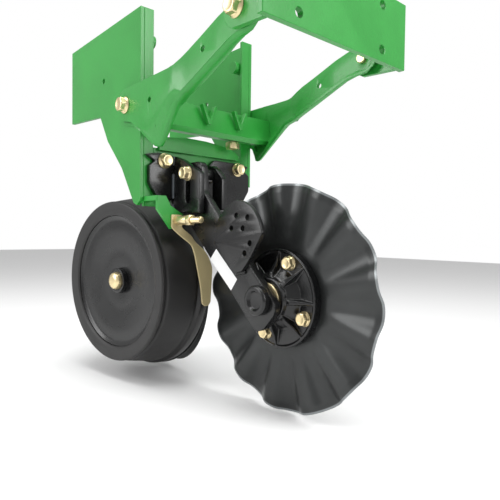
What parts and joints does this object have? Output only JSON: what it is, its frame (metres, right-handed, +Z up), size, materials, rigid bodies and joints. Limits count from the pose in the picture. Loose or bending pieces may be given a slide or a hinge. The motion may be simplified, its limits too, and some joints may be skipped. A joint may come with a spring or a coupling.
{
  "type": "corn planter row unit",
  "caption": "Front of a planter row unit: toolbar bracket, parallel arms, frame with twin opener discs and gauge wheel, and a wavy no-till coulter on a slotted bracket.",
  "frame": {"origin": "centre of the toolbar plate's front face, level with the toolbar's middle", "axes": "+X is the direction of travel and the toolbar plate's outward normal, +Y is to the left across the row, +Z is up"},
  "size_m": [0.8874, 0.3834, 0.8054],
  "materials": {
    "green_paint": "bright green gloss enamel over plate steel",
    "black_paint": "satin gloss black paint",
    "black_casting": "black-painted iron casting",
    "blade_steel": "dark pressed blade steel with a bright bevelled rim",
    "yellow_zinc": "yellow zinc plate",
    "tyre_rubber": "dark grey-black moulded rubber",
    "bright_steel": "turned steel",
    "bearing_steel": "ground bearing steel"
  },
  "bodies": {
    "toolbar_bracket": {"toolbar_plate": "green_paint", "near_toolbar_lug": "green_paint", "far_toolbar_lug": "green_paint", "near_front_pivot_bolt": "yellow_zinc", "far_front_pivot_bolt": "yellow_zinc"},
    "parallel_arms": {"near_lower_arm": "green_paint", "far_lower_arm": "green_paint", "arm_cross_member": "green_paint", "near_spring_lug": "green_paint", "far_spring_lug": "green_paint", "spring_anchor_nut": "yellow_zinc", "near_rear_pivot_bolt": "yellow_zinc", "far_rear_pivot_bolt": "yellow_zinc"},
    "row_frame": {"near_side_plate": "green_paint", "far_side_plate": "green_paint", "near_front_flange": "green_paint", "far_front_flange": "green_paint", "front_web": "green_paint", "front_rail": "green_paint", "shank": "green_paint", "mount_plate": "black_paint", "near_mount_wall": "black_paint", "far_mount_wall": "black_paint", "near_mount_bolt": "yellow_zinc", "far_mount_bolt": "yellow_zinc", "near_disc_spindle": "bright_steel", "far_disc_spindle": "bright_steel", "gauge_pivot_pin": "bright_steel", "scraper_bracket": "green_paint", "scraper_bolt": "yellow_zinc", "scraper_sleeve": "yellow_zinc", "scraper_nut": "yellow_zinc"},
    "coulter_carrier": {"coulter_arm": "black_paint", "sector_plate": "black_paint", "clamp_bolt": "yellow_zinc", "clamp_spacer": "black_paint", "clamp_nut": "yellow_zinc", "coulter_spindle": "black_paint", "spindle_collar": "yellow_zinc", "spindle_nut": "bright_steel"},
    "coulter_wheel": {"coulter_blade": "blade_steel", "coulter_hub": "black_casting", "blade_clamp_ring": "black_paint", "hub_bolt_1": "yellow_zinc", "hub_bolt_2": "yellow_zinc", "hub_bolt_3": "yellow_zinc", "hub_bolt_4": "yellow_zinc", "hub_cap": "black_casting", "arm_side_bearing": "bearing_steel", "cap_side_bearing": "bearing_steel"},
    "gauge_wheel_arm": {"gauge_arm": "green_paint", "gauge_axle": "bright_steel"},
    "gauge_wheel": {"gauge_tyre": "tyre_rubber", "gauge_rim": "black_paint", "gauge_hub": "black_casting", "gauge_cap": "yellow_zinc"},
    "near_opener": {"near_opener_disc": "blade_steel"},
    "far_opener": {"far_opener_disc": "blade_steel"},
    "scraper": {"scraper_blade": "yellow_zinc"}
  },
  "joints": [
    {"name": "arm_swing", "type": "hinge", "parent": "toolbar_bracket", "child": "parallel_arms", "pos_m": [-0.072, 0, -0.0275], "axis": [0, 1, 0], "range_deg": [-8, 5]},
    {"name": "row_unit_level", "type": "hinge", "parent": "parallel_arms", "child": "row_frame", "pos_m": [-0.455, 0, -0.1055], "axis": [0, 1, 0], "range_deg": [-8, 8]},
    {"name": "coulter_height", "type": "slide", "parent": "row_frame", "child": "coulter_carrier", "axis": [0, 0, 1], "range_m": [-0.005, 0.002]},
    {"name": "coulter_spin", "type": "hinge", "parent": "coulter_carrier", "child": "coulter_wheel", "pos_m": [-0.13, 0, -0.4975], "axis": [0, 1, 0], "continuous": true},
    {"name": "gauge_arm_swing", "type": "hinge", "parent": "row_frame", "child": "gauge_wheel_arm", "pos_m": [-0.77105, -0.07476, -0.4495], "axis": [0.1305, -0.9914, 0], "range_deg": [-8, 0]},
    {"name": "gauge_wheel_spin", "type": "hinge", "parent": "gauge_wheel_arm", "child": "gauge_wheel", "pos_m": [-0.545, -0.045, -0.4895], "axis": [0.1305, -0.9914, 0], "continuous": true},
    {"name": "near_opener_spin", "type": "hinge", "parent": "row_frame", "child": "near_opener", "pos_m": [-0.56, -0.0275, -0.5095], "axis": [0.1305, -0.9914, 0], "continuous": true},
    {"name": "far_opener_spin", "type": "hinge", "parent": "row_frame", "child": "far_opener", "pos_m": [-0.56, 0.0275, -0.5095], "axis": [0.1305, 0.9914, 0], "continuous": true},
    {"name": "scraper_swing", "type": "hinge", "parent": "row_frame", "child": "scraper", "pos_m": [-0.332, -0.1, -0.3515], "axis": [1, 0, 0], "range_deg": [-6, 3]}
  ],
  "couplings": [
    {"joint": "row_unit_level", "follows": "arm_swing", "ratio": -1}
  ]
}
